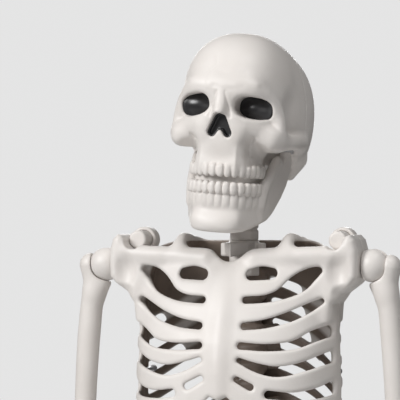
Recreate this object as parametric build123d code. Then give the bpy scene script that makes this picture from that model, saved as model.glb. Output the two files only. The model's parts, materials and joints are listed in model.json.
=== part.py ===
from build123d import *
import os

# A posable plastic skeleton figure, in millimetres.
# The origin is on the floor midway between the feet, +Z is up, the face looks along -Y,
# and the figure's own left side is on +X. The head leans a little towards its left shoulder.

# ---- driving dimensions -------------------------------------------------------------------
BONE_WALL = 3.0              # thickness of the moulded shells
RUN = 0.06                   # radial clearance of a pin that turns in its hole
GAP = 0.3                    # clearance between moving surfaces
SPLIT_Y = 0.0                # where the front and back shells of the rib cage meet

NECK_PIVOT = (0.0, 18.0, 1392.0)
HEAD_LEAN = 4.5              # degrees towards the figure's left shoulder
NECK_BALL_R = 15.0
NECK_SEAM_Z = 1311.0         # where the neck post turns on the chest
NECK_R = 15.0
SPIGOT_R = 9.0

CROWN = 132.0                # height of the crown above the neck pivot
JAW_HINGE = (-12.0, 16.0)    # y and z of the jaw hinge from the neck pivot
JAW_X = 49.5                 # half distance between the two jaw hinges
EYE = (30.0, 55.0)           # x and z of an eye socket from the neck pivot
EYE_SIZE = (18.5, 11.5)
RING_HINGE = (0.0, 51.0, 119.0)
RING_SLOPE = -20.0           # degrees; the ring stands off the skull a little
RING_R = 12.0
RING_WIRE = 1.4

SHOULDER = (143.0, -2.0, 1287.0)
SHOULDER_R = 17.5
SHOULDER_FACE = 133.0        # x of the knuckle's flat side
ELBOW = (172.0, -2.0, 1003.0)
ELBOW_BEND = 15.0            # degrees that the relaxed elbow is bent forward
WRIST = (180.0, -6.0, 785.0)  # with the elbow straight
HAND_LENGTH = 176.0

RIB_BOTTOM = 1075.0
SPINE_Y = 40.0
WAIST_Z = 996.0

HIP = (92.0, 8.0, 858.0)
HIP_R = 18.0
HIP_FACE = 82.0
KNEE = (76.0, 2.0, 455.0)
ANKLE = (70.0, 26.0, 68.0)
FOOT_BACK = 72.0
FOOT_FRONT = -106.0

# half width, front depth and back depth of the rib cage at each height
RIB_RINGS = [
    (1303.0, 95.0, 38.0),
    (1280.0, 101.0, 50.0),
    (1245.0, 104.0, 63.0),
    (1200.0, 106.0, 72.0),
    (1150.0, 107.0, 75.0),
    (1110.0, 103.0, 72.0),
    (1075.0, 96.0, 66.0),
]
# gaps between the front ribs: height at the breastbone, halfway out and at the side
FRONT_GAPS = [
    (1253.0, 1257.0, 1277.0, 8.0),
    (1226.0, 1233.0, 1252.0, 8.0),
    (1206.0, 1208.0, 1223.0, 9.0),
    (1191.0, 1181.0, 1193.0, 9.0),
    (1168.0, 1158.0, 1163.0, 9.0),
]
STERNUM_HALF = 19.0
BACK_GAPS = 7
BACK_GAP_TOP = 1268.0
BACK_GAP_PITCH = 27.0


# ---- small helpers ------------------------------------------------------------------------
def ball(radius, x, y, z):
    return Pos(x, y, z) * Sphere(radius)


def rod_x(radius, length, x, y, z):
    return Pos(x, y, z) * Rot(Y=90) * Cylinder(radius, length)


def rod_y(radius, length, x, y, z):
    return Pos(x, y, z) * Rot(X=90) * Cylinder(radius, length)


def rod_z(radius, low, high, x, y):
    return Pos(x, y, (low + high) / 2) * Cylinder(radius, high - low)


def block(x, y, z):
    """A box from three (low, high) pairs."""
    middle = Pos(sum(x) / 2, sum(y) / 2, sum(z) / 2)
    return middle * Box(x[1] - x[0], y[1] - y[0], z[1] - z[0])


def lofted(stations):
    """A smooth closed solid through level ellipses: x, y, z, half width, half depth."""
    return loft([Pos(x, y, z) * Ellipse(a, b) for x, y, z, a, b in stations])


def plate_y(points, low, high):
    """An outline of (x, z) points, made solid from y = low to y = high."""
    outline = make_face(Plane.XZ * Polyline(*points, close=True))
    return Pos(0, low, 0) * extrude(outline, high - low, dir=(0, 1, 0))


def plate_x(points, low, high):
    """An outline of (y, z) points, made solid from x = low to x = high."""
    outline = make_face(Plane.YZ * Polyline(*points, close=True))
    return Pos(low, 0, 0) * extrude(outline, high - low, dir=(1, 0, 0))


def mirrored(shape):
    return mirror(shape, about=Plane.YZ)


def both_sides(shape):
    return shape + mirrored(shape)


def front_part(shape, y):
    return split(shape, Plane(origin=(0, y, 0), z_dir=(0, -1, 0)), keep=Keep.TOP)


def back_part(shape, y):
    return split(shape, Plane(origin=(0, y, 0), z_dir=(0, 1, 0)), keep=Keep.TOP)


nodes = {}


def keep(name, shape):
    nodes[name] = shape


def keep_pair(name, left):
    keep("left_" + name, left)
    keep("right_" + name, mirrored(left))


# ---- head: modelled upright about the neck pivot, then leaned -----------------------------
HEAD = Pos(*NECK_PIVOT) * Rot(Y=HEAD_LEAN)


def cranium(inset):
    """The brain case as level ellipses, shrunk by inset for the hollow."""
    rings = [
        (2.0, 8.0, 38.0, 44.0),
        (20.0, -4.0, 56.0, 74.0),
        (40.0, -9.0, 65.0, 83.0),
        (60.0, -10.0, 67.0, 85.0),
        (82.0, -9.0, 65.0, 82.0),
        (102.0, -8.0, 56.0, 72.0),
        (119.0, -6.0, 40.0, 52.0),
        (CROWN, -5.0, 14.0, 18.0),
    ]
    rings[0] = (rings[0][0] + inset,) + rings[0][1:]
    rings[-1] = (rings[-1][0] - inset,) + rings[-1][1:]
    return lofted([(0, y, z, a - inset, b - inset) for z, y, a, b in rings])


def skull_halves():
    face = lofted([
        (0, -62, -17, 31, 27),
        (0, -62, 0, 34, 29),
        (0, -60, 20, 50, 32),
        (0, -60, 40, 58, 34),
        (0, -60, 62, 54, 33),
        (0, -55, 78, 40, 28),
    ])
    boss = rod_z(21, -3, 24, 0, 0)
    arch = both_sides(block((56, 61), (-66, 6), (18, 28)))
    hinge_ears = both_sides(block((36, 44), (-22, 2), (4, 34)))
    mastoids = both_sides(lofted([(52, 20, -18, 5, 7), (54, 20, 0, 9, 12), (54, 18, 20, 9, 14)]))
    solid = cranium(0) + face + arch + mastoids
    hollow = cranium(BONE_WALL)
    skull = solid - hollow + boss + hinge_ears
    skull -= ball(NECK_BALL_R + GAP, 0, 0, 0)
    skull -= rod_z(NECK_BALL_R - 1, -30, -2, 0, 0)
    # room for the upper ends of the jaw inside the cheek arches
    jaw_room = block((44, 55.5), (-52, 12), (-25, 33))
    skull -= both_sides(jaw_room)
    # sockets for the black eye cups and the nose insert
    for side in (-1, 1):
        skull -= Pos(side * EYE[0], -45, EYE[1]) * extrude(Plane.XZ * Ellipse(*EYE_SIZE), 60)
    skull -= nose_shape(-120, -84)
    skull -= both_sides(rod_x(2.52, 20, 40, *JAW_HINGE))
    return front_part(skull, 0), back_part(skull, 0)


def nose_shape(front, back):
    outline = [(0, 48), (6, 38), (12, 26), (6, 23), (0, 29), (-6, 23), (-12, 26), (-6, 38)]
    return plate_y(outline, front, back)


def eye_cup(side):
    """A black dish that fills an eye socket and bulges a little towards the front."""
    rim = Plane.XZ * Ellipse(EYE_SIZE[0] - 0.1, EYE_SIZE[1] - 0.1)
    return Pos(side * EYE[0], -45, EYE[1]) * extrude(rim, 24)


def jaw_solid():
    """The lower jaw: a horseshoe with a branch up each side to the hinge."""
    outer = lofted([
        (0, -50, -70, 26, 36),
        (0, -46, -58, 34, 42),
        (0, -44, -45, 38, 44),
        (0, -42, -21, 39, 45),
    ])
    inner = lofted([
        (0, -36, -74, 19, 36),
        (0, -36, -58, 25, 40),
        (0, -36, -45, 29, 42),
        (0, -36, -16, 30, 44),
    ])
    horseshoe = outer - inner
    horseshoe -= block((-60, 60), (-26, 40), (-90, 0))
    side_outline = [(-45, -62), (-18, -52), (-6, -40), (-3, 8), (-7, 23), (-17, 23), (-21, 8),
                    (-26, 0), (-30, 14), (-36, 12), (-34, -18), (-45, -30)]
    branch = plate_x(side_outline, 34, 52)
    branch -= block((0, 46), (-60, 40), (-8, 40))
    branch -= lofted([(0, -36, -90, 25, 60), (0, -36, -58, 31, 60), (0, -36, 30, 41, 60)])
    jaw = horseshoe + both_sides(branch)
    jaw -= both_sides(rod_x(2.5 + RUN, 30, JAW_X, *JAW_HINGE))
    return jaw


def jaw_pin():
    y, z = JAW_HINGE
    shaft = rod_x(2.5, 17.5, 44.75, y, z)
    head = rod_x(4.0, 1.5, 53.5 + 0.75, y, z)
    return shaft + head


front, back = skull_halves()
keep("skull_face", HEAD * front)
keep("skull_back", HEAD * back)
keep("right_eye_cup", HEAD * eye_cup(-1))
keep("left_eye_cup", HEAD * eye_cup(1))
keep("nose_insert", HEAD * nose_shape(-88, -84))
keep("jaw", HEAD * jaw_solid())
keep("jaw_pins", HEAD * both_sides(jaw_pin()))


def ring_parts():
    """The steel hanging ring behind the crown, and the staple that holds it."""
    ring = Pos(*RING_HINGE) * Rot(X=RING_SLOPE) * Pos(0, RING_R, 0) * Torus(RING_R, RING_WIRE)
    hoop = Pos(*RING_HINGE) * Rot(X=RING_SLOPE) * Rot(Y=90) * Torus(4.0, 1.0)
    return ring, hoop


ring, staple = ring_parts()
keep("skull_back", nodes["skull_back"] - HEAD * staple)
keep("hang_ring", HEAD * ring)
keep("ring_staple", HEAD * staple)


# ---- neck ---------------------------------------------------------------------------------
def neck_ball():
    """The swivel ball: it nods in the skull, and the post tilts on the pin inside it."""
    solid = ball(NECK_BALL_R, *NECK_PIVOT)
    x, y, z = NECK_PIVOT
    solid -= rod_y(8.0, 10.6, x, y, z)
    solid -= block((x - 8, x + 8), (y - 5.3, y + 5.3), (z - 20, z))
    wedge = plate_y([(0, 0), (-16, -24), (16, -24)], y - 5.3, y + 5.3)
    solid -= Pos(x, 0, z) * wedge
    return solid - rod_y(2.52, 40, x, y, z)


def neck_post():
    """A fluted post with a tongue for the swivel ball on top and a turned spigot below."""
    x, y, z = NECK_PIVOT
    post = extrude(Pos(x, y, NECK_SEAM_Z + GAP) * RegularPolygon(NECK_R, 8), z - 34 - NECK_SEAM_Z)
    taper = lofted([(x, y, z - 34, NECK_R - 0.6, NECK_R - 0.6), (x, y, z - 16, 9, 9)])
    tongue = block((x - 6, x + 6), (y - 5, y + 5), (z - 30, z))
    post = post + (taper - ball(NECK_BALL_R + GAP + 0.1, x, y, z)) + tongue
    post += rod_y(7.5, 10, x, y, z)
    post += rod_z(SPIGOT_R, NECK_SEAM_Z - 31, NECK_SEAM_Z + 2, x, y)
    post -= rod_z(2.0, NECK_SEAM_Z - 40, NECK_SEAM_Z - 10, x, y)
    return post - rod_y(2.5 + RUN, 40, x, y, z)


def neck_screw():
    x, y, z = NECK_PIVOT
    washer = rod_z(12, NECK_SEAM_Z - 34, NECK_SEAM_Z - 31, x, y)
    return washer + rod_z(1.98, NECK_SEAM_Z - 34, NECK_SEAM_Z - 12, x, y) + \
        rod_z(4.5, NECK_SEAM_Z - 37, NECK_SEAM_Z - 34, x, y)


keep("neck_ball", neck_ball())
keep("neck_pin", rod_y(2.5, 28, *NECK_PIVOT))
keep("neck_post", neck_post())
keep("neck_screw", neck_screw())


# ---- chest --------------------------------------------------------------------------------
def cage(inset):
    return lofted([(0, 0, z, a - inset, b - inset) for z, a, b in RIB_RINGS])


def shoulder_cap(inset, depth):
    """The box-like shoulder corner outside the rib cage."""
    k = inset
    outline = [
        (80, 1303 - k), (116, 1306 - k), (121, 1317 - k), (129 - k, 1319 - k),
        (132 - k, 1301), (128 - k, 1268 + k), (112 - k / 2, 1252 + k), (80, 1238 + k),
    ]
    return plate_y(outline, -depth + k, depth - k)


def horn():
    """A bar that arches from the collar bone over to the back of the shoulder."""
    outline = [(-40, 1290), (-38, 1303), (-24, 1315), (-4, 1319), (16, 1316), (40, 1303),
               (40, 1294), (16, 1306), (-4, 1309), (-22, 1305), (-34, 1290)]
    return plate_x(outline, 53, 61)


def front_gap(inner, middle, outer, height):
    """One curved gap between two front ribs."""
    x0, x1, x2 = STERNUM_HALF, 62.0, 104.0
    low = ThreePointArc((x0, inner - height / 2), (x1, middle - height / 2), (x2, outer - height * 0.8))
    high = ThreePointArc((x0, inner + height / 2), (x1, middle + height / 2), (x2, outer + height * 0.8))
    ends = Line(low @ 0, high @ 0) + Line(low @ 1, high @ 1)
    return extrude(make_face(Plane.XZ * (low + high + ends)), 90, dir=(0, -1, 0))


def back_gap(number):
    """One gap between two back ribs, sloping down and outwards."""
    z = BACK_GAP_TOP - number * BACK_GAP_PITCH
    outline = [(17, z - 5), (17, z + 5), (60, z - 2), (98, z - 18), (98, z - 28), (60, z - 13)]
    return plate_y(outline, 4, 90)


def costal_arch():
    """The opening below the breastbone."""
    outline = [(0, 1154), (14, 1144), (34, 1118), (62, 1092), (70, 1060), (-70, 1060),
               (-62, 1092), (-34, 1118), (-14, 1144)]
    return plate_y(outline, -90, -8)


def screw_bosses(radius, low, high):
    spots = [(112, 1264), (100, 1178), (94, 1105)]
    rods = [rod_y(radius, high - low, x, (high + low) / 2, z) for x, z in spots]
    return both_sides(rods[0] + rods[1] + rods[2])


def chest_shells():
    x, y, z = SHOULDER
    caps = both_sides(shoulder_cap(0, 30))
    cap_rooms = both_sides(shoulder_cap(BONE_WALL, 30))
    sleeves = both_sides(rod_y(13, 30, 107, 9, 1312))
    shell = cage(0) + caps - cage(BONE_WALL) - cap_rooms
    shell = shell + sleeves + both_sides(horn())
    shell += screw_bosses(4.5, -14, 14) & cage(0.5)
    shell += both_sides(rod_y(4.5, 56, 112, 0, 1264))
    spine = block((-12, 12), (34, 80), (RIB_BOTTOM, 1262)) & cage(1)
    shelf = block((-14, 14), (34, 60), (1262, 1298)) & cage(1)
    chin_shelf = block((-8, 8), (-44, -38), (1282, 1296))
    shell = shell + spine + shelf + chin_shelf
    for gap in FRONT_GAPS:
        shell -= both_sides(front_gap(*gap))
    for number in range(BACK_GAPS):
        shell -= both_sides(back_gap(number))
    upper_gap = Pos(37, -20, 1278) * extrude(Plane.XZ * Ellipse(16, 6), 60)
    shell -= both_sides(upper_gap)
    shell -= costal_arch()
    shell -= both_sides(rod_y(9.52, 80, 107, 0, 1312))
    shell -= both_sides(rod_x(5.0 + RUN, 16, 128, y, z))
    shell -= screw_bosses(1.82, -10, 24) + screw_bosses(3.52, 20, 60)
    shell -= rod_z(6.02, RIB_BOTTOM - 1, RIB_BOTTOM + 22, 0, SPINE_Y)
    return front_part(shell, SPLIT_Y), back_part(shell, SPLIT_Y)


def neck_base():
    """The collar that carries the neck, held between the front and back shells."""
    x, y, z = NECK_PIVOT
    collar = rod_z(17, 1268, NECK_SEAM_Z, x, y) - block((-40, 40), (34, 60), (1200, 1400))
    keel = block((-8, 8), (-38, 18), (1284, 1296))
    heel = block((-12, 12), (18, 34), (1268, 1298))
    base = collar + keel + heel
    base -= rod_z(SPIGOT_R + RUN, 1270, 1320, x, y)
    return base - rod_z(12.5, 1260, NECK_SEAM_Z - 31 + GAP, x, y)


def lumbar_spine():
    """A stack of vertebrae between the chest and the pelvis, with a spigot at its foot."""
    column = rod_z(11, WAIST_Z + GAP, RIB_BOTTOM, 0, SPINE_Y)
    step = (RIB_BOTTOM - WAIST_Z) / 4
    for number in range(4):
        low = WAIST_Z + GAP + number * step
        column += rod_z(16, low, low + step - 7, 0, SPINE_Y)
        column += block((-4, 4), (SPINE_Y + 8, SPINE_Y + 26), (low + 2, low + 9))
    column += rod_z(6.0, RIB_BOTTOM, RIB_BOTTOM + 20, 0, SPINE_Y)
    column += rod_z(7.0, WAIST_Z - 26, WAIST_Z + 2, 0, SPINE_Y)
    return column


front, back = chest_shells()
keep("rib_front", front)
keep("rib_back", back)
keep("neck_base", neck_base())
keep("shoulder_pegs", both_sides(rod_y(9.5, 34, 107, 8, 1312)))
keep("torso_screws", screw_bosses(1.8, -8, 20) + screw_bosses(3.5, 20, 23))
keep("lumbar_spine", lumbar_spine())


# ---- shared joint shapes ------------------------------------------------------------------
def knuckle(pivot, radius, face, stub_r, stub_end, slot):
    """A ball with a flat inner side, a stub that turns in the body and a slot for a limb."""
    x, y, z = pivot
    solid = ball(radius, x, y, z) - block((x - 40, face), (y - 40, y + 40), (z - 40, z + 40))
    solid += rod_x(stub_r, face + 1 - stub_end, (face + 1 + stub_end) / 2, y, z)
    half = slot / 2 + GAP
    eye = radius * 0.39
    solid -= rod_y(eye, 2 * half, x, y, z)
    solid -= block((x, x + 30), (y - half, y + half), (z - eye, z + 30))
    solid -= block((x - eye, x + 1), (y - half, y + half), (z, z + 30))
    solid -= rod_x(1.82, 30, stub_end, y, z) & block((stub_end - 1, face - 2), (-99, 99), (0, 2000))
    return solid - rod_y(2.52, 60, x, y, z)


def knuckle_screw(pivot, washer_r, stub_end, depth):
    """The washer and screw that hold a knuckle's stub from inside."""
    x, y, z = pivot
    washer = rod_x(washer_r, 2.5, stub_end - 1.25, y, z)
    head = rod_x(3.8, 2.5, stub_end - 3.75, y, z)
    return washer + head + rod_x(1.8, depth, stub_end + depth / 2 - 1, y, z)


def knuckle_tongue(pivot, radius, slot):
    """The eye and neck by which a limb hangs in a knuckle."""
    x, y, z = pivot
    eye = radius * 0.39 - GAP
    reach = radius + 5
    neck = block((x, x + reach), (y - slot / 2, y + slot / 2), (z - eye, z + eye))
    return rod_y(eye, slot, x, y, z) + neck


def fork(shape, pivot, radius, width, slot, pin_r, room):
    """Gives a bone end a barrel across X with a slot for the next bone's tongue."""
    x, y, z = pivot
    half = slot / 2 + GAP
    depth = radius * 0.78
    yoke = lofted([(x, y, z, width / 2, depth), (x, y, z + 2.4 * radius, width * 0.36, depth)])
    shape = shape + yoke + rod_x(radius, width, x, y, z)
    shape -= block((x - half, x + half), (y - room, y + room), (z - 2 * room, z + radius + 2))
    return shape - rod_x(pin_r + 0.02, width + 10, x, y, z)


def tongue(shape, pivot, radius, slot, pin_r, half_depth, drop):
    """Gives a bone's upper end a tongue that turns in a fork across X."""
    x, y, z = pivot
    shape += block((x - slot / 2, x + slot / 2), (y - half_depth, y + half_depth), (z - drop, z))
    shape += rod_x(radius, slot, x, y, z)
    return shape - rod_x(pin_r + RUN, slot + 10, x, y, z)


# ---- arms: the left one, the right one is its mirror image ---------------------------------
ARM_SLOT = 10.0
ELBOW_R = 14.0
ELBOW_SLOT = 9.4
ELBOW_PIN = 3.0
# the forearm and hand are modelled hanging straight down, then turned about the elbow
BENT = Pos(*ELBOW) * Rot(X=-ELBOW_BEND) * Pos(*[-v for v in ELBOW])


def humerus():
    x, y, z = ELBOW
    shaft = lofted([
        (162, -2, 1284, 9, 9), (162, -2, 1262, 11, 11), (163, -2, 1230, 11.7, 11.5),
        (165.5, -2, 1140, 11.7, 11), (169.5, -2, 1060, 11.7, 11), (x, y, z + 30, 12, 9.5),
        (x, y, z + 18, 12.5, 9.5),
    ])
    bone = shaft + ball(12.5, 162, -2, 1286)
    bone -= ball(SHOULDER_R + GAP, *SHOULDER)
    bone += knuckle_tongue(SHOULDER, SHOULDER_R, ARM_SLOT)
    bone -= rod_y(2.5 + RUN, 30, *SHOULDER)
    return fork(bone, ELBOW, ELBOW_R, 29, ELBOW_SLOT, ELBOW_PIN, 40)


def forearm():
    x, y, z = ELBOW
    wx, wy, wz = WRIST
    bone = lofted([
        (x, y, z - 16, 10, 8.5), (x, y - 1, z - 40, 14, 9), (x, y - 2, z - 90, 16, 9),
        (wx, wy + 1, wz + 90, 16, 8.5), (wx, wy, wz + 45, 15, 9), (wx, wy, wz + 22, 14, 11),
    ])
    bone -= block((x - 4, x + 4), (y - 30, y + 30), (wz + 50, z - 50))
    bone -= rod_z(5.0 + RUN, wz, wz + 50, wx, wy)
    return tongue(bone, ELBOW, ELBOW_R - 1.2, ELBOW_SLOT, ELBOW_PIN, 8.5, 22)


def wrist_fork():
    """The swivel between forearm and hand: a spigot above and a fork below."""
    x, y, z = WRIST
    piece = rod_z(5.0, z + 15, z + 46, x, y) + rod_z(9.5, z + 15, z + 22 - GAP, x, y)
    piece += block((x - 8, x + 8), (y - 7, y + 7), (z, z + 16))
    piece += rod_x(7.5, 16, x, y, z)
    piece -= block((x - 3.5, x + 3.5), (y - 20, y + 20), (z - 20, z + 9.5))
    return piece - rod_x(2.02, 30, x, y, z)


def bar(start, end, radius):
    """A round bar between two points."""
    way = Vector(*end) - Vector(*start)
    stand = Align.CENTER, Align.CENTER, Align.MIN
    return Plane(origin=start, z_dir=way) * Cylinder(radius, way.length, align=stand)


def finger(points, radii):
    """A chain of bars with a ball at each knuckle."""
    solid = ball(radii[-1], *points[-1])
    for start, end, radius in zip(points, points[1:], radii):
        solid = solid + ball(radius, *start) + bar(start, end, radius * 0.8)
    return solid


def hand():
    """A relaxed hand in one moulding, palm to the rear and thumb towards the thigh."""
    palm = lofted([(0, 0, -9, 9, 5), (0, 1, -24, 17, 7), (0, 1, -50, 25, 6.5), (0, 2, -76, 29, 6)])
    solid = palm
    lengths = (0.84, 1.0, 0.94, 0.76)
    reach = HAND_LENGTH - 80
    for number, share in enumerate(lengths):
        x = -22.5 + 15 * number
        spread = (number - 1.5) * 3
        drop = reach * share
        points = [
            (x, 2, -76),
            (x + spread * 0.5, 4, -76 - drop * 0.46),
            (x + spread * 0.8, 10, -76 - drop * 0.76),
            (x + spread, 18, -76 - drop + 5),
        ]
        solid += finger(points, (6.2, 5.6, 5.2, 4.8))
    thumb = [(-16, 2, -30), (-34, 8, -52), (-42, 14, -78), (-45, 20, -98)]
    solid += finger(thumb, (7, 6.2, 5.8, 5.2))
    solid += rod_x(7.0, 6.4, 0, 0, 0)
    solid += block((-3.2, 3.2), (-5, 5), (-14, 0))
    solid -= rod_x(2.0 + RUN, 30, 0, 0, 0)
    return Pos(*WRIST) * solid


keep_pair("shoulder_knuckle", knuckle(SHOULDER, SHOULDER_R, SHOULDER_FACE, 5.0, 122.0, ARM_SLOT))
keep_pair("shoulder_screw", knuckle_screw(SHOULDER, 9.0, 122.0, 9.0))
keep_pair("shoulder_pin", rod_y(2.5, 33, *SHOULDER))
keep_pair("humerus", humerus())
keep_pair("elbow_pin", rod_x(ELBOW_PIN, 29, *ELBOW))
keep_pair("forearm", BENT * forearm())
keep_pair("wrist_fork", BENT * wrist_fork())
keep_pair("wrist_pin", BENT * rod_x(2.0, 15.5, *WRIST))
keep_pair("hand", BENT * hand())


# ---- pelvis -------------------------------------------------------------------------------
def pelvis_halves():
    x, y, z = HIP
    sacrum = lofted([(0, 40, WAIST_Z, 24, 17), (0, 44, 950, 27, 16), (0, 50, 905, 17, 11),
                     (0, 48, 868, 8, 6)])
    wing = plate_y([(0, 930), (0, 975), (30, 995), (70, 996), (100, 975), (106, 950), (94, 915),
                    (74, 884), (46, 884)], -5, 5)
    wing = Pos(16, 48, 0) * Rot(Z=-32) * wing
    socket = rod_x(20, 22, 70.5, y, z)
    neck = bar((68, 10, 866), (74, 14, 910), 12)
    seat = bar((66, 14, 852), (54, 26, 800), 11) + ball(12, 54, 26, 798)
    ramus = bar((54, 26, 798), (8, -20, 826), 7)
    pubis = bar((64, 2, 858), (8, -20, 838), 8) + ball(10, 6, -20, 834)
    half = socket + neck + seat + ramus + pubis
    pelvis = sacrum + both_sides(half)
    pelvis -= both_sides(rod_x(6.0 + RUN, 40, 76, y, z) + rod_x(11, 20, 56.5, y, z))
    pelvis -= rod_z(7.0 + RUN, WAIST_Z - 28, WAIST_Z + 1, 0, SPINE_Y)
    pelvis -= pelvis_screws(1.82, 3.52)
    wings = both_sides(wing)
    return front_part(pelvis, y) - wings, back_part(pelvis, y) + wings


def pelvis_screws(shaft_r, head_r):
    """Four screws that pull the front and back of the hip bone together."""
    pair = [rod_y(shaft_r, 24, 68, 8, z) + rod_y(head_r, 3, 68, 21.5, z) for z in (843, 873)]
    return both_sides(pair[0] + pair[1])


front, back = pelvis_halves()
keep("pelvis_front", front)
keep("pelvis_back", back)
keep("pelvis_screws", pelvis_screws(1.8, 3.5))


# ---- legs: the left one, the right one is its mirror image ---------------------------------
LEG_SLOT = 12.0
KNEE_R = 18.0
KNEE_SLOT = 13.4
KNEE_PIN = 4.0
ANKLE_R = 12.0
ANKLE_SLOT = 10.0
ANKLE_PIN = 3.0


def femur():
    x, y, z = KNEE
    hx, hy, hz = HIP
    shaft = lofted([
        (hx + 16, hy, hz - 4, 12, 13), (hx + 14, hy, hz - 30, 13, 13),
        (hx + 8, hy, hz - 80, 13, 13), (hx + 2, 6, hz - 160, 12.5, 12.5),
        (84, 5, 600, 12.5, 12.5), (x, y, z + 60, 14, 13), (x, y, z + 24, 18, 13),
    ])
    bone = shaft + ball(15, hx + 15, hy, hz - 2)
    bone -= ball(HIP_R + GAP, *HIP)
    bone += knuckle_tongue(HIP, HIP_R, LEG_SLOT)
    bone -= rod_y(2.5 + RUN, 30, *HIP)
    return fork(bone, KNEE, KNEE_R, 44, KNEE_SLOT, KNEE_PIN, 50)


def shank():
    x, y, z = KNEE
    ax, ay, az = ANKLE
    shin = lofted([
        (x, y, z - 21, 18, 11), (x, y, z - 45, 15, 13), (x - 1, y + 2, z - 100, 11.5, 12),
        (x - 3, y + 10, 230, 10.5, 11), (ax - 1, ay - 3, 130, 10.5, 10.5), (ax, ay, az + 14, 12, 9),
    ])
    outer = bar((x + 15, y + 6, z - 36), (ax + 12, ay, az + 28), 4.5)
    outer += ball(6, x + 15, y + 6, z - 36) + ball(6, ax + 12, ay, az + 28)
    bone = shin + outer
    bone = tongue(bone, KNEE, KNEE_R - 1.5, KNEE_SLOT, KNEE_PIN, 11, 26)
    bone += block((ax - 5, ax + 5), (ay - 8, ay + 8), (az, az + 18)) + rod_x(10, 10, ax, ay, az)
    return bone - rod_x(ANKLE_PIN + RUN, 30, ax, ay, az)


def foot():
    """A foot in one moulding, flat underneath, with five toes."""
    ax, ay, az = ANKLE
    heel = lofted([
        (ax, FOOT_BACK - 23, 0, 15, 23), (ax, FOOT_BACK - 25, 14, 15, 22),
        (ax, FOOT_BACK - 34, 34, 13, 17), (ax, ay + 2, az - 14, 12, 12),
    ])
    arch = lofted([(ax, -2, 0, 22, 52), (ax, 4, 14, 19, 46), (ax, 12, 32, 14, 32),
                   (ax, ay - 4, az - 16, 12, 14)])
    tread = lofted([(ax, -32, 0, 29, 20), (ax, -28, 7, 27, 18), (ax, -24, 14, 22, 14)])
    solid = heel + arch + tread
    for number in range(5):
        x = ax - 23 + number * 11.5
        reach = abs(FOOT_FRONT) - 5 - number * number * 2.2
        radius = 7.5 if number == 0 else 5.5
        lean = number - 1.5
        toe = [(x, -38, 8), (x + lean, -reach * 0.8, 7), (x + lean, -reach, 6)]
        solid += finger(toe, (radius, radius * 0.95, radius * 0.9))
    solid += block((ax - 13, ax + 13), (ay - 12, ay + 12), (az - 24, az)) + rod_x(ANKLE_R, 26, ax, ay, az)
    solid -= block((ax - 5.3, ax + 5.3), (ay - 40, ay + 40), (az - 14, az + 30))
    solid -= block((-200, 200), (-200, 200), (-60, 0))
    return solid - rod_x(ANKLE_PIN + 0.02, 40, ax, ay, az)


keep_pair("hip_knuckle", knuckle(HIP, HIP_R, HIP_FACE, 6.0, 66.0, LEG_SLOT))
keep_pair("hip_screw", knuckle_screw(HIP, 10.0, 66.0, 14.0))
keep_pair("hip_pin", rod_y(2.5, 34, *HIP))
keep_pair("femur", femur())
keep_pair("knee_pin", rod_x(KNEE_PIN, 44, *KNEE))
keep_pair("shank", shank())
keep_pair("ankle_pin", rod_x(ANKLE_PIN, 26, *ANKLE))
keep_pair("foot", foot())


# ---- writing ------------------------------------------------------------------------------
os.makedirs("parts", exist_ok=True)
for name, shape in nodes.items():
    export_step(shape, "parts/" + name + ".step")
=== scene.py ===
import json
import math
import bpy
import numpy as np
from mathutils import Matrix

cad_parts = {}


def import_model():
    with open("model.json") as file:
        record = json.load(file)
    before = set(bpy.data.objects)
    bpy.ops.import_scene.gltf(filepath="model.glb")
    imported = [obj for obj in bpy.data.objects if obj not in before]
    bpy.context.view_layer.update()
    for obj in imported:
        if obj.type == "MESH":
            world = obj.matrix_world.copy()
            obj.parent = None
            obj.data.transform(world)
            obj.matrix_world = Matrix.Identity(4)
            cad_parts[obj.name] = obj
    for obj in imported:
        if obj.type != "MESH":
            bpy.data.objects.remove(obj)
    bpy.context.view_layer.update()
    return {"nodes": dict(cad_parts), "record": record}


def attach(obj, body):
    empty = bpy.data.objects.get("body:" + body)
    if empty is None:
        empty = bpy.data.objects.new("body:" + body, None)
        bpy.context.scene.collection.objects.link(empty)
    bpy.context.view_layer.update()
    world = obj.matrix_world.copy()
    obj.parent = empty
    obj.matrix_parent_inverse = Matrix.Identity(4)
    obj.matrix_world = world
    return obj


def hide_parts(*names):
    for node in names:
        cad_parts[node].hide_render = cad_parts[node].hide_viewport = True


# A posable plastic skeleton. Every piece is modelled as a distance field in millimetres, turned
# into a mesh, and placed on the joints of the frame. The figure faces -Y, its left side is +X.

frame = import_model()
joints = {j["name"]: j for j in frame["record"]["behaviour"]["joints"]}
SLOTS = {s["node"]: s["material_slot"] for s in frame["record"]["subparts"]}
CELL = 1.1    # mesh size in millimetres
FAR = 1e9                  # a distance beyond every shape


def pivot(name):
    """A joint's place at rest, in millimetres."""
    return np.array(joints[name]["pos_m"], dtype=float) * 1000


# ---- distance fields ----
def soft_min(a, b, k):
    """The lower of two distances, joined by a fillet about k wide."""
    h = np.clip(0.5 + 0.5 * (b - a) / k, 0, 1)
    return b + (a - b) * h - k * h * (1 - h)


def soft_max(a, b, k):
    """The higher of two distances, with the edge between them eased over about k."""
    return -soft_min(-a, -b, k)


def join(k, *fields):
    """The soft minimum of several distances."""
    d = fields[0]
    for other in fields[1:]:
        d = soft_min(d, other, k)
    return d


def blob(p, centre, radii, power=2.0):
    """A (super)ellipsoid; a higher power is boxier."""
    q = np.abs(p - np.array(centre, "f4")) / np.array(radii, "f4") + 1e-6
    k = (q ** power).sum(1) ** (1 / power)
    slope = (q / k[:, None]) ** (power - 1) / np.array(radii, "f4")
    return (k - 1) / np.sqrt((slope ** 2).sum(1))


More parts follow.
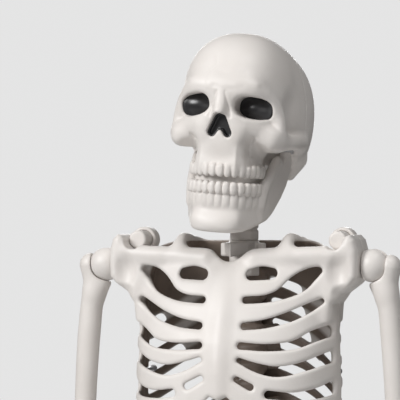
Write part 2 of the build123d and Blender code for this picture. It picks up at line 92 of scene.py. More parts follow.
def bone(p, a, b, ra, rb=None):
    """A rounded bar from a to b, radius ra to rb."""
    rb = ra if rb is None else rb
    a, b = np.array(a, "f4"), np.array(b, "f4")
    way = b - a
    t = np.clip(((p - a) @ way) / (way @ way), 0, 1)
    return np.linalg.norm(p - a - t[:, None] * way, axis=1) - (ra + (rb - ra) * t)


def drum(p, centre, axis, radius, half, edge=1.0):
    """A round disc or rod along an axis, with eased edges."""
    q = p - np.array(centre, "f4")
    flat = np.delete(q, axis, 1)
    a = np.linalg.norm(flat, axis=1) - (radius - edge)
    b = np.abs(q[:, axis]) - (half - edge)
    return np.minimum(np.maximum(a, b), 0) + np.hypot(np.maximum(a, 0), np.maximum(b, 0)) - edge


def brick(p, centre, half, edge):
    """A box from its half sizes, with rounded edges."""
    q = np.abs(p - np.array(centre, "f4")) - (np.array(half, "f4") - edge)
    outside = np.linalg.norm(np.maximum(q, 0), axis=1)
    return outside + np.minimum(q.max(1), 0) - edge


def outline(u, v, points):
    """Signed distance in a plane to a closed outline."""
    d = np.full(u.shape, FAR, "f4")
    inside = np.zeros(u.shape, bool)
    for (au, av), (bu, bv) in zip(points, points[1:] + points[:1]):
        eu, ev = bu - au, bv - av
        t = np.clip(((u - au) * eu + (v - av) * ev) / (eu * eu + ev * ev), 0, 1)
        d = np.minimum(d, (u - au - t * eu) ** 2 + (v - av - t * ev) ** 2)
        if ev != 0:
            crosses = (av > v) != (bv > v)
            inside ^= crosses & (u < eu * (v - av) / ev + au)
    return np.where(inside, -1, 1) * np.sqrt(d)


def smooth_path(points, steps):
    """Rows along a smooth curve that passes through the given rows."""
    rows = np.array(points, "f4")
    ends = np.concatenate([[2 * rows[0] - rows[1]], rows, [2 * rows[-1] - rows[-2]]])
    out = []
    for i in range(len(rows) - 1):
        a, b, c, d = ends[i:i + 4]
        for t in np.arange(steps) / steps:
            out.append(0.5 * (2 * b + (c - a) * t + (2 * a - 5 * b + 4 * c - d) * t ** 2
                              + (3 * b - a - 3 * c + d) * t ** 3))
    return np.array(out + [rows[-1]], "f4")


def chain(p, path):
    """Distance to a string of rounded bars; each row of the path is a point and a radius."""
    d = np.full(len(p), FAR, "f4")
    for a, b in zip(path, path[1:]):
        d = np.minimum(d, bone(p, a[:-1], b[:-1], a[-1], b[-1]))
    return d


def strand(p, points, steps=3):
    """Distance to a rounded bar that runs smoothly through points with radii."""
    return chain(p, smooth_path(points, steps))


def furrow(u, v, path, width, depth):
    """Depth of a soft line pressed along a path that is drawn in the plane of u and v."""
    near = np.full(len(u), FAR, "f4")
    for (au, av), (bu, bv) in zip(path, path[1:]):
        du, dv = bu - au, bv - av
        t = np.clip(((u - au) * du + (v - av) * dv) / (du * du + dv * dv), 0, 1)
        near = np.minimum(near, np.hypot(u - au - t * du, v - av - t * dv))
    return depth * np.exp(-(near / width) ** 2)


def turned(p, centre, degrees):
    """Points in a frame at centre that is turned by degrees about Z."""
    q = p - np.array(centre, "f4")
    c, s = math.cos(math.radians(-degrees)), math.sin(math.radians(-degrees))
    q[:, 0], q[:, 1] = q[:, 0] * c - q[:, 1] * s, q[:, 0] * s + q[:, 1] * c
    return q


def folded(p):
    """Points with the right half laid over the left, for shapes that are the same on both sides."""
    q = p.copy()
    q[:, 0] = np.abs(q[:, 0])
    return q


# ---- meshing ----
BLOCK = 6                  # cells along a side of the blocks tried first
CHUNK = 200000             # points for one call of a field
# a cell's corners, and its edges as pairs of corners
CORNERS = [(i, j, k) for k in (0, 1) for j in (0, 1) for i in (0, 1)]
EDGES = [(c, c[:axis] + (1,) + c[axis + 1:]) for axis in range(3) for c in CORNERS if c[axis] == 0]


def in_chunks(field, points):
    return np.concatenate([field(points[i:i + CHUNK]) for i in range(0, len(points), CHUNK)])


def at_corner(grid, corner):
    """The grid's values at one corner of every cell."""
    i, j, k = corner
    return grid[i:grid.shape[0] - 1 + i, j:grid.shape[1] - 1 + j, k:grid.shape[2] - 1 + k]


def sample(field, low, high, cell):
    """The field's values on a grid over a box, exact only in blocks that its surface may cross."""
    blocks = np.ceil((np.array(high) + 2 * cell - low) / (cell * BLOCK)).astype(int)
    grid = np.stack(np.meshgrid(*[np.arange(n) for n in blocks], indexing="ij"), -1).reshape(-1, 3)
    centres = low + (grid + 0.5).astype("f4") * BLOCK * cell
    rough = in_chunks(field, centres).reshape(blocks)
    # somewhat further than from a block's middle to its corners
    near = np.abs(rough) < BLOCK * cell * 1.25 + 2 * cell
    size = blocks * BLOCK + 1
    values = np.full(size, 1.0, "f4")
    wide = np.kron(rough < 0, np.ones((BLOCK,) * 3, bool))
    values[:-1, :-1, :-1][wide] = -1.0
    mask = np.zeros(size, bool)
    wide = np.kron(near, np.ones((BLOCK,) * 3, bool))
    for corner in CORNERS:
        part = at_corner(mask, corner)
        part |= wide
    values[mask] = in_chunks(field, low + np.argwhere(mask).astype("f4") * cell)
    return values


def cell_points(values, cells):
    """One point for each crossed cell, in cells: the middle of the cuts through its edges."""
    total = np.zeros((len(cells), 3), "f4")
    hits = np.zeros(len(cells), "f4")
    for a, b in EDGES:
        va = values[tuple((cells + a).T)]
        vb = values[tuple((cells + b).T)]
        cut = (va < 0) != (vb < 0)
        t = np.where(cut, va / np.where(cut, va - vb, 1), 0)
        total += cut[:, None] * (np.array(a, "f4") + t[:, None] * (np.array(b, "f4") - np.array(a, "f4")))
        hits += cut
    return cells + total / hits[:, None]


def cell_quads(inside, number):
    """A quad round every grid edge that the surface cuts, through the points of its four cells."""
    quads = []
    for axis in range(3):
        u, w = [k for k in range(3) if k != axis]
        lead = [slice(1, -1)] * 3
        lead[axis] = slice(0, -1)
        step = [slice(1, -1)] * 3
        step[axis] = slice(1, None)
        spots = np.argwhere(inside[tuple(lead)] != inside[tuple(step)])
        shift = np.ones(3, int)
        shift[axis] = 0
        spots = spots + shift
        ring = []
        for du, dw in ((0, 0), (-1, 0), (-1, -1), (0, -1)):
            corner = spots.copy()
            corner[:, u] += du
            corner[:, w] += dw
            ring.append(number[tuple(corner.T)])
        quad = np.stack(ring, 1)
        flip = inside[tuple(spots.T)] == (axis != 1)
        quad[flip] = quad[flip][:, ::-1]
        quads.append(quad)
    quads = np.concatenate(quads)
    return quads[(quads >= 0).all(1)]


def mesh_field(field, low, high, cell):
    """Vertices and quads of the field's zero surface inside a box, by surface nets."""
    low = np.array(low, "f4") - 2 * cell
    values = sample(field, low, high, cell)
    inside = values < 0
    count = np.zeros(np.array(values.shape) - 1, "i1")
    for corner in CORNERS:
        count += at_corner(inside, corner)
    cells = np.argwhere((count > 0) & (count < 8))
    verts = low + cell_points(values, cells) * cell
    number = np.full(count.shape, -1, "i4")
    number[tuple(cells.T)] = np.arange(len(cells))
    return settle(field, verts, cell), cell_quads(inside, number)


def settle(field, verts, cell):
    """Moves the vertices onto the exact surface, in two steps down the field's slope."""
    probe, flattest, longest = 0.3, 0.25, 0.45 * cell
    for _ in range(2):
        value = in_chunks(field, verts.astype("f4"))
        slope = np.zeros_like(verts)
        for axis in range(3):
            nudge = np.zeros(3, "f4")
            nudge[axis] = probe
            slope[:, axis] = (in_chunks(field, (verts + nudge).astype("f4")) - value) / probe
        size = np.maximum((slope ** 2).sum(1), flattest)
        move = -(value / size)[:, None] * slope
        length = np.linalg.norm(move, axis=1)
        move *= np.minimum(1, longest / np.maximum(length, 1e-6))[:, None]
        verts = verts + move
    return verts


def add_mesh(name, verts, quads, material):
    """A Blender object from vertices in millimetres."""
    mesh = bpy.data.meshes.new(name)
    mesh.vertices.add(len(verts))
    mesh.vertices.foreach_set("co", (verts * 0.001).astype("f4").ravel())
    mesh.loops.add(len(quads) * 4)
    mesh.loops.foreach_set("vertex_index", quads.astype("i4").ravel())
    mesh.polygons.add(len(quads))
    mesh.polygons.foreach_set("loop_start", np.arange(len(quads), dtype="i4") * 4)
    mesh.polygons.foreach_set("use_smooth", np.ones(len(quads), bool))
    mesh.update(calc_edges=True)
    mesh.validate()
    mesh.materials.append(material)
    piece = bpy.data.objects.new(name, mesh)
    bpy.context.scene.collection.objects.link(piece)
    return piece


def sculpt(name, field, low, high, body, nodes, material, place=None, cell=None, inside=None):
    """Meshes a field, moves it by the 4x4 matrix place and stands it in for CAD nodes on a body."""
    verts, quads = mesh_field(field, low, high, cell or CELL)
    if place is not None:
        verts = verts @ place[:3, :3].T + place[:3, 3]
    piece = add_mesh(name, verts, quads, material)
    # the inside attribute holds painted shade: how far each vertex is darkened towards brown
    if inside is not None:
        shade = piece.data.attributes.new("inside", "FLOAT", "POINT")
        shade.data.foreach_set("value", np.clip(inside(verts.astype("f4")), 0, 1).astype("f4"))
    adopt(piece, body, nodes)
    return verts, quads


def adopt(piece, body, nodes):
    """Fixes a piece to its body and lets it stand in for CAD nodes."""
    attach(piece, body)
    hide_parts(*nodes)


def sculpt_pair(name, field, low, high, body, node, cell=None, place=None):
    """A left piece from its field, and the right one as its mirror image."""
    verts, quads = sculpt("left_" + name + "_visual", field, low, high, "left_" + body,
                          ["left_" + node], BONE, place, cell)
    right = add_mesh("right_" + name + "_visual", verts * np.array((-1, 1, 1)), quads[:, ::-1], BONE)
    adopt(right, "right_" + body, ["right_" + node])


# ---- materials ----
MIX_A, MIX_B, MIX_RESULT = 6, 7, 2    # the sockets of a Mix node that hold colours


def new_material(name):
    """A material and the tree and main shader that it is made of."""
    material = bpy.data.materials.new(name)
    material.use_nodes = True
    tree = material.node_tree
    return material, tree, tree.nodes["Principled BSDF"]


def noise(tree, scale, detail=3.0):
    """A noise texture that stays put on the piece."""
    place = tree.nodes.new("ShaderNodeTexCoord")
    texture = tree.nodes.new("ShaderNodeTexNoise")
    texture.inputs["Scale"].default_value = scale
    texture.inputs["Detail"].default_value = detail
    tree.links.new(place.outputs["Object"], texture.inputs["Vector"])
    return texture.outputs["Fac"]


def mottle(tree, scale, dark, light):
    """A colour that drifts between two shades with a noise."""
    node = tree.nodes.new("ShaderNodeValToRGB")
    for stop, at, colour in zip(node.color_ramp.elements, (0.3, 0.7), (dark, light)):
        stop.position = at
        stop.color = (*colour, 1)
    tree.links.new(noise(tree, scale), node.inputs["Fac"])
    return node.outputs["Color"]


def span(tree, source, low, high):
    """The source's 0 to 1 stretched to low to high."""
    node = tree.nodes.new("ShaderNodeMapRange")
    node.inputs["To Min"].default_value = low
    node.inputs["To Max"].default_value = high
    tree.links.new(source, node.inputs["Value"])
    return node.outputs["Result"]


def grain(tree, shader, rough, relief, detail=3.0):
    """Lets roughness and relief follow noises: rough is scale, low, high, relief is scale, height."""
    scale, low, high = rough
    tree.links.new(span(tree, noise(tree, scale), low, high), shader.inputs["Roughness"])
    scale, height = relief
    bump = tree.nodes.new("ShaderNodeBump")
    bump.inputs["Strength"].default_value = 0.3
    bump.inputs["Distance"].default_value = height
    tree.links.new(noise(tree, scale, detail), bump.inputs["Height"])
    tree.links.new(bump.outputs["Normal"], shader.inputs["Normal"])


def bone_plastic():
    """Off-white moulded plastic with a soft gloss and a faint mottling, with painted shade, a dark brown,
    inside the shells.
    """
    material, tree, shader = new_material("bone_plastic")
    # painted shade: the attribute inside mixes the plastic's colour towards dark brown within the chest
    # shells
    inside = tree.nodes.new("ShaderNodeAttribute")
    inside.attribute_name = "inside"
    mix = tree.nodes.new("ShaderNodeMix")
    mix.data_type = "RGBA"
    tree.links.new(inside.outputs["Fac"], mix.inputs["Factor"])
    tree.links.new(mottle(tree, 14.0, (0.66, 0.62, 0.585), (0.72, 0.685, 0.655)), mix.inputs[MIX_A])
    # the dark brown of the painted shade
    mix.inputs[MIX_B].default_value = (0.21, 0.165, 0.135, 1)
    tree.links.new(mix.outputs[MIX_RESULT], shader.inputs["Base Color"])
    shader.inputs["IOR"].default_value = 1.46
    grain(tree, shader, (60.0, 0.38, 0.52), (420.0, 0.0003), 4.0)
    return material


def black_plastic():
    """Deep black plastic, half gloss."""
    material, tree, shader = new_material("black_plastic")
    colour = mottle(tree, 50.0, (0.012, 0.011, 0.012), (0.022, 0.021, 0.022))
    tree.links.new(colour, shader.inputs["Base Color"])
    grain(tree, shader, (90.0, 0.26, 0.36), (300.0, 0.0002))
    return material


def steel():
    """Zinc-plated steel for pins, screws and the hanging ring."""
    material, tree, shader = new_material("steel")
    shader.inputs["Metallic"].default_value = 1.0
    colour = mottle(tree, 120.0, (0.48, 0.48, 0.50), (0.62, 0.62, 0.63))
    tree.links.new(colour, shader.inputs["Base Color"])
    grain(tree, shader, (200.0, 0.28, 0.42), (600.0, 0.0001))
    return material


BONE = bone_plastic()
BLACK = black_plastic()
STEEL = steel()

# ---- head: fields in a frame that stands upright on the neck pivot ----
LEAN = math.atan2(-joints["head_nod"]["axis"][2], joints["head_nod"]["axis"][0])
SKULL_GAP = 0.04           # between the two skull shells, which meet at y = 0
ARCH_Y = -54.0             # centre of the dental arch
# widths of the teeth, from the middle outwards
UPPER_PITCH = (7.6, 6.8, 7.4, 7.0, 6.8, 7.6, 7.6, 7.4, 7.2)
LOWER_PITCH = (6.8, 7.2, 7.8, 8.0, 8.2, 8.4, 8.2, 8.0)


def head_place():
    """The matrix from the head's upright frame to its place at rest."""
    c, s = math.cos(LEAN), math.sin(LEAN)
    place = np.eye(4)
    place[:3, :3] = [[c, 0, s], [0, 1, 0], [-s, 0, c]]
    place[:3, 3] = pivot("head_nod")
    return place


HEAD = head_place()


def tooth_row(p, top, bottom, pitch, count, reach, share=1.06):
    """Teeth or roots along a dental arch: rounded pegs set side by side on a half ellipse."""
    across, along = reach
    d = np.full(len(p), FAR, "f4")
    angle = math.pi / 2
    for number in range(count):
        half = pitch[number] / 2
        angle -= half / math.hypot(across * math.sin(angle), along * math.cos(angle))
        x, y = across * math.cos(angle), ARCH_Y - along * math.sin(angle)
        turn = math.degrees(math.atan2(x / across ** 2, (ARCH_Y - y) / along ** 2))
        q = turned(p, (x, y, (top + bottom) / 2), turn)
        tooth = blob(q, (0, 0, 0), (half * share, 4.4, (top - bottom) / 2 + 0.4), 2.7)
        d = np.minimum(d, tooth)
        angle -= half / math.hypot(across * math.sin(angle), along * math.cos(angle))
    return d


def nose_field(p):
    """The opening of the nose, drawn in the frontal plane."""
    q = folded(p)
    q[:, 1] = 0
    side = bone(q, (1.5, 0, 42.0), (8.2, 0, 29.0), 5.6, 4.6)
    return soft_min(side, bone(q, (0, 0, 42.5), (0, 0, 38), 5.6, 6.5), 2.0)


def socket_field(p, swell=0.0):
    """Both eye sockets, each a flattened oval that droops outwards, the right one more."""
    q = folded(p)
    droop = np.where(p[:, 0] > 0, 6.0, 13.0)
    dx, dz = q[:, 0] - 30.3, q[:, 2] - 55.5
    c, s = np.cos(np.radians(droop)), np.sin(np.radians(droop))
    u = dx * c - dz * s
    w = dx * s + dz * c
    oval = np.stack([u, q[:, 1] * 0, w], 1).astype("f4")
    return blob(oval, (0, 0, 0), (17.0 + swell, 50, 11.0 + swell), 2.6)


def cranium(q):
    """The brain case with its temples, brow and cheek bones."""
    d = blob(q, (0, -24, 64), (57, 70, 67.5), 2.3)
    rear = soft_max(blob(q, (0, 14, 46), (63.5, 68, 77), 2.2), -4 - 0.16 * q[:, 1] - q[:, 2], 16)
    d = soft_min(d, rear, 10)
    d = soft_max(d, -blob(q, (86, -44, 56), (30, 25, 30)), 12)
    # brow, glabella and the rims round the sockets
    d = soft_min(d, blob(q, (0, -86, 77), (34, 8.5, 8)), 14)
    rim = strand(q, [(14, -85, 72, 6), (34, -78, 71, 5.5), (46, -69, 62, 5), (52, -62, 48, 6),
                     (52, -61, 34, 7.5), (44, -67, 30, 8.5), (22, -82, 35, 9)])
    d = soft_min(d, rim, 11)
    # cheek bones, arches
    d = soft_min(d, blob(q, (45, -60, 24), (14.5, 18, 12), 2.3), 8)
    arch = strand(q, [(52, -56, 24, 8), (58, -40, 23, 7.5), (60, -20, 23, 7), (57, 6, 24, 7.5)])
    return soft_min(d, arch, 8)


def upper_jaw(q, d):
    """Adds the upper jaw and nasal bones to the cranium, with the hollows beside and below."""
    x, y, z = q.T
    # a flat front that turns sharply into receding sides
    d = soft_min(d, blob(q, (0, -64, 26), (29, 29, 30), 2.6), 7)
    gum = outline(x, y, [(-19, -91.5), (19, -91.5), (27, -83), (35, -54), (35, -34), (-35, -34),
                         (-35, -54), (-27, -83)])
    slant = 0.16 * np.maximum(0, z + 2)
    d = soft_min(d, soft_max(gum + slant, np.abs(z - 6) - 17.5, 5), 5)
    # nasal bones
    d = soft_min(d, bone(q, (0, -90, 68), (0, -98, 50), 5.5, 6), 9)
    d = soft_min(d, bone(q, (13, -86, 44), (17, -84, 28), 8, 7), 8)
    # canine hollow beside the nose, hollows behind the cheek and under the skull
    d = soft_max(d, -blob(q, (38, -80, 8), (10, 16, 11)), 6)
    d = soft_max(d, -blob(q, (50, -24, 0), (20, 27, 16.5), 2.4), 4)
    d = soft_max(d, -blob(q, (0, -36, -16), (25, 42, 15)), 6)
    # block behind the teeth that closes the mouth
    flat = q * np.array((1, 1, 0), "f4")
    palate = blob(flat, (0, -46, 0), (30.5, 36, 60), 4)
    return soft_min(d, soft_max(palate, np.abs(z + 9) - 15.5, 2), 1)


def pressed_lines(p, q):
    """How deep the folds and sutures are pressed into the front of the skull."""
    x, y, z = q.T
    front = np.clip(-(y + 40) / 10, 0, 1)
    fold = furrow(x, z, [(33, 25), (28, 21), (25.5, 14), (26, 5), (29, -3)], 2.0, 1.5)
    bridge = furrow(x, z, [(4.5, 70), (6.5, 62), (8.5, 54), (11, 45)], 1.5, 0.9)
    crack = furrow(p[:, 0], p[:, 2], [(-12, 108), (-9, 97), (-14, 90), (-16, 80), (-14, 70)], 1.1, 0.45)
    frown = furrow(p[:, 0], p[:, 2], [(-8, 76), (2, 72.5), (12, 73), (22, 76)], 2.4, 0.4)
    brow = furrow(p[:, 0], p[:, 2], [(-4, 90), (8, 87), (20, 89)], 3.0, 0.5)
    return front * (fold + bridge + crack + frown + brow)


def skull_field(p):
    q = folded(p)
    d = upper_jaw(q, cranium(q))
    # mastoids
    d = soft_min(d, bone(q, (51, 20, 6), (44, 18, -9), 9, 6.5), 9)
    # sockets with soft rims
    d = soft_max(d, -soft_max(socket_field(p), q[:, 1] + 62, 3), 4)
    d = soft_max(d, -soft_max(nose_field(p), q[:, 1] + 84, 1), 2.2)
    d = soft_min(d, tooth_row(q, -1.8, -15.0, UPPER_PITCH, 9, (34.4, 37.4)), 1.0)
    d = d + pressed_lines(p, q)
    # neck socket
    return np.maximum(d, -blob(q, (0, 0, 0), (15.4, 15.4, 15.4)))


def skull_part(back):
    """The shell in front of the seam or behind it, parted by a hairline."""
    def field(p):
        seam = -p[:, 1] if back else p[:, 1] + SKULL_GAP
        return soft_max(skull_field(p), seam, 0.15)
    return field


def jaw_field(p):
    """The lower jaw: a horseshoe body, a branch up each side and the lower teeth with their roots."""
    q = folded(p)
    x, y, z = q.T
    flat = q * np.array((1, 1, 0), "f4")
    outer = blob(flat, (0, -22, 0), (40, 69.5, 60), 2.3)
    inner = blob(flat, (0, -18, 0), (30, 60, 60), 2.3)
    base = -69.5 + 0.32 * np.maximum(0, y + 72)
    body = soft_max(soft_max(outer, -inner, 4), soft_max(base - z, z + 33, 4), 7)
    body = soft_max(body, y + 14, 8)
    # the chin boss and the hollow above it
    body = soft_min(body, blob(q, (0, -82, -60), (25, 8.5, 9), 2.4), 10)
    body = soft_max(body, -blob(q, (0, -102, -45), (34, 9.5, 10)), 12)
    branch = [(-26, 6), (-33, -2), (-41, -10), (-48, -19), (-54, -30), (-57, -44), (-52, -58), (-38, -55),
              (-23, -47), (-9, -36), (1, -22), (6, -8), (7, 8), (2, 22), (-10, 22), (-12, 9), (-17, 4),
              (-21, 9)]
    plate = outline(y, z, branch)
    middle = 39.6 + 0.12 * (y + 38) + 0.075 * (z + 5)
    d = soft_max(plate, np.abs(x - middle) - 4.6, 4.5)
    d = soft_min(body, d, 6)
    # outer ridge along the branch's front edge
    ridge = strand(q, [(42.5, -25, 2, 4.2), (40.5, -40, -12, 4.6), (38.5, -50, -24, 4.8),
                       (36.5, -54, -42, 4.5)])
    d = soft_min(d, ridge, 5)
    d = soft_min(d, tooth_row(q, -30, -44, LOWER_PITCH, 7, (32.0, 33.4), 0.8), 6)
    d = soft_min(d, tooth_row(q, -20.2, -32.6, LOWER_PITCH, 8, (35.4, 37.4)), 1.0)
    return d


def eye_cup_field(p):
    """A black dish in the socket with a gentle dome in its middle."""
    q = folded(p)
    plate = soft_max(socket_field(p, 0.9), np.abs(q[:, 1] + 66) - 5.5, 2)
    dome = blob(q, (30.3, -70, 55), (13, 5, 8))
    return soft_min(plate, dome, 4)


def one_side(field, sign):
    """The half of a field on the left, for a sign of 1, or on the right."""
    return lambda p: np.maximum(field(p), -sign * p[:, 0])


sculpt("skull_face_visual", skull_part(False), (-72, -106, -28), (72, 2, 134), "skull", ["skull_face"],
       BONE, HEAD)
sculpt("skull_back_visual", skull_part(True), (-72, -2, -28), (72, 90, 134), "skull", ["skull_back"],
       BONE, HEAD)
sculpt("jaw_visual", jaw_field, (-58, -100, -76), (58, 4, 26), "jaw", ["jaw"], BONE, HEAD, CELL * 0.8)
for side, sign in (("left", 1), ("right", -1)):
    low, high = sorted((sign * 8, sign * 52))
    sculpt(side + "_eye_cup_visual", one_side(eye_cup_field, sign), (low, -78, 38), (high, -58, 72), "skull",
           [side + "_eye_cup"], BLACK, HEAD, CELL * 0.8)


# ---- nose insert, neck ----
def nose_insert_field(p):
    mouth = nose_field(p)
    plate = soft_max(mouth - 1.0, np.abs(p[:, 1] + 83.5) - 2.5, 1)
    rim = soft_max(np.abs(mouth + 0.6) - 1.1, np.abs(p[:, 1] + 86) - 4.2, 0.8)
    return np.minimum(plate, rim)


sculpt("nose_insert_visual", nose_insert_field, (-16, -92, 20), (16, -80, 52), "skull", ["nose_insert"],
       BLACK, HEAD, CELL * 0.7)

NECK = pivot("head_nod")
SEAM_Z = pivot("head_turn")[2]


def octagon(p, across):
    """Distance to an upright eight-sided prism round the neck."""
    nx, ny = NECK[:2]
    x, y = p[:, 0] - nx, p[:, 1] - ny
    d = np.full(len(p), -FAR, "f4")
    for k in range(4):
        turn = math.radians(22.5 + 45 * k)
        d = soft_max(d, np.abs(x * math.cos(turn) + y * math.sin(turn)) - across, 1.2)
    return d


def neck_post_field(p):
    nx, ny, nz = NECK
    top = nz - 30
    d = soft_max(octagon(p, 14.4), np.abs(p[:, 2] - (SEAM_Z + 0.3 + top) / 2) - (top - SEAM_Z - 0.3) / 2, 2)
    d = soft_min(d, brick(p, (nx, ny, nz - 17), (6, 5, 17), 1), 1)
    d = soft_min(d, drum(p, NECK, 1, 7.5, 5), 1)
    groove = np.abs(p[:, 2] - (SEAM_Z + 12)) - 1.2
    d = soft_max(d, -soft_max(groove, -octagon(p, 13.2), 0.6), 0.8)
    beside = np.abs(p[:, 1] - ny) > 5.2
    d = np.where(beside, soft_max(d, -blob(p, NECK, (15.5, 15.5, 15.5)), 0.5), d)
    return soft_min(d, drum(p, (nx, ny, SEAM_Z - 14), 2, 9, 16), 0.5)


def neck_base_field(p):
    """The eight-sided collar with a prow that runs forward to the breastbone."""
    nx, ny = NECK[:2]
    q = folded(p)
    height = np.abs(p[:, 2] - (SEAM_Z - 18)) - 18
    d = soft_max(octagon(p, 15.0), height, 1.5)
    prow = outline(p[:, 0], p[:, 1], [(0, -31), (13, -8), (13, 18), (-13, 18), (-13, -8)])
    keel = SEAM_Z - 12 - 0.20 * np.maximum(0, -8 - p[:, 1]) - p[:, 2]
    prow = soft_max(soft_max(prow, p[:, 2] - SEAM_Z + 1, 2), keel, 2)
    ears = drum(q, (18.5, 15, SEAM_Z - 9), 2, 5.6, 7, 2)
    d = join(2.5, d, prow, ears)
    return soft_max(d, -drum(p, (nx, ny, SEAM_Z - 10), 2, 9.2, 40), 0.5)


sculpt("neck_post_visual", neck_post_field, (-16, 2, SEAM_Z - 31), (16, 34, NECK[2] + 8), "neck_post",
       ["neck_post"], BONE)
sculpt("neck_base_visual", neck_base_field, (-26, -32, SEAM_Z - 38), (26, 34, SEAM_Z), "torso",
       ["neck_base"], BONE)

# ---- chest ----
CHEST_TOP, CHEST_BOTTOM = 1303.0, 1075.0
PEG = (107.0, 8.0, 1312.0)    # where the left shoulder peg stands
SHELL_GAP = 0.15           # between the front and back shells of chest and pelvis
# the chest's outer skin: height, half width, depth in front, depth behind
CAGE = smooth_path([(1060, 94, 62, 64), (1075, 96, 66, 66), (1110, 103, 72, 72), (1150, 107, 75, 75),
                    (1203, 106, 70, 72), (1228, 105, 62, 69), (1253, 103, 54, 64), (1280, 99, 43, 56),
                    (1303, 92, 30, 46), (1320, 86, 20, 40)], 6)
# front slots: x, z and half height along each, from the breastbone outwards
FRONT_SLOTS = [
    [(26, 1277.5, 5.6), (36, 1279, 6.6), (46, 1278.5, 5.6)],
    [(23, 1252, 3.4), (42, 1253.4, 3.6), (57, 1258, 5.4), (72, 1268, 9.2), (83, 1277, 7.4), (92, 1282, 4)],
    [(24, 1226, 3.6), (45, 1228.6, 4.2), (66, 1235, 5.0), (82, 1243, 4.6), (95, 1251, 3.0)],
    [(22, 1206.5, 3.4), (48, 1205, 3.3), (73, 1207.5, 4.0), (90, 1216, 5.6), (108, 1224, 5.4)],
    [(21, 1192, 2.4), (40, 1184.5, 4.4), (60, 1181, 5.0), (83, 1186, 4.6), (108, 1197, 5.6)],
    [(19, 1173, 2.8), (33, 1165.5, 3.4)],
    [(51, 1158, 4.0), (74, 1156, 3.8), (95, 1159, 5.2), (108, 1166, 6.0)],
    [(58, 1131, 4.0), (80, 1130, 4.6), (108, 1140, 6.0)],
    [(72, 1104, 4.0), (90, 1104, 4.6), (108, 1112, 6.0)],
]
RAIL = 10.0                # half depth of the unbroken strip down each side
BACK_SLOTS, RIB_PITCH = 8, 22
BONE_PITCH = 19.0          # from one bone of the spine to the next


def cage_distance(p):
    """Distance to the smooth outer skin of the chest."""
    z = p[:, 2]
    a = np.interp(z, CAGE[:, 0], CAGE[:, 1])
    b = np.where(p[:, 1] < 0, np.interp(z, CAGE[:, 0], CAGE[:, 2]), np.interp(z, CAGE[:, 0], CAGE[:, 3]))
    qx, qy = np.abs(p[:, 0]) / a + 1e-6, np.abs(p[:, 1]) / b + 1e-6
    power = 2.25
    k = (qx ** power + qy ** power) ** (1 / power)
    return (k - 1) / np.hypot((qx / k) ** (power - 1) / a, (qy / k) ** (power - 1) / b)


def shoulder_block(q, skin):
    """The box-like corner outside the rib cage, with the hollows in its face."""
    x, y, z = q.T
    edge = outline(x, z, [(74, 1300), (110, 1303), (115, 1311), (119, 1316.5), (124, 1318), (129, 1313),
                          (132, 1302), (132.4, 1290), (131.5, 1274), (126, 1268), (114, 1259),
                          (106, 1248), (103, 1226), (82, 1228)])
    d = soft_max(edge, np.abs(y + 1) - 28, 9)
    d = soft_max(d, -(skin + 6), 4)
    for side in (-1, 1):
        d = soft_max(d, -blob(q, (113, side * 32, 1282), (10, 9, 17)), 6)
        d = soft_max(d, -blob(q, (116, side * 31, 1259), (8, 8, 7)), 5)
    return d


def chest_field(p, back):
    """The back or the front shell of the chest."""
    q = folded(p)
    x, y, z = q.T
    skin = cage_distance(q)
    d = np.abs(skin + 3.0) - 3.0
    if back:
        top = CHEST_TOP + 9 * np.clip(y / 26, 0, 1)
    else:
        top = CHEST_TOP - 13 * np.exp(-(x / 16) ** 2)
    d = soft_max(d, soft_max(z - top, CHEST_BOTTOM - z, 1), 5)
    d = soft_min(d, shoulder_block(q, skin), 7)
    if back:
        d = back_details(q, d, skin)
    else:
        d = front_details(q, d)
    horn = strand(q, [(57, -23, 1300, 5), (57, -20, 1308, 6), (57, -7, 1313.4, 6),
                      (57, 20, 1311, 5.5), (57, 42, 1304, 6)], 4)
    d = soft_min(d, horn, 9)
    d = soft_max(d, -drum(q, PEG, 1, 9.7, 40), 0.6)
    return soft_max(d, -y if back else y + SHELL_GAP, 0.7)


def front_details(q, d):
    """Adds the breastbone and collar bones, and cuts the gaps between the front ribs."""
    x, y, z = q.T
    breast = strand(q, [(0, -26, 1280, 6), (0, -50, 1240, 6), (0, -66, 1190, 6), (0, -69, 1160, 4)])
    d = soft_min(d, breast, 12)
    d = soft_min(d, bone(q, (26, -30, 1294), (112, -19, 1299), 7.5, 8), 8)
    for slot in FRONT_SLOTS:
        gap = soft_max(strand(q[:, [0, 2]], slot, 4), y + RAIL, 7)
        d = soft_max(d, -gap, 4.5)
    arch = [(0, 1151), (9, 1155), (18, 1147), (38, 1118), (60, 1095), (76, 1062)]
    arch = arch + [(-u, v) for u, v in arch[:0:-1]]
    return soft_max(d, -outline(x, z, arch), 5)


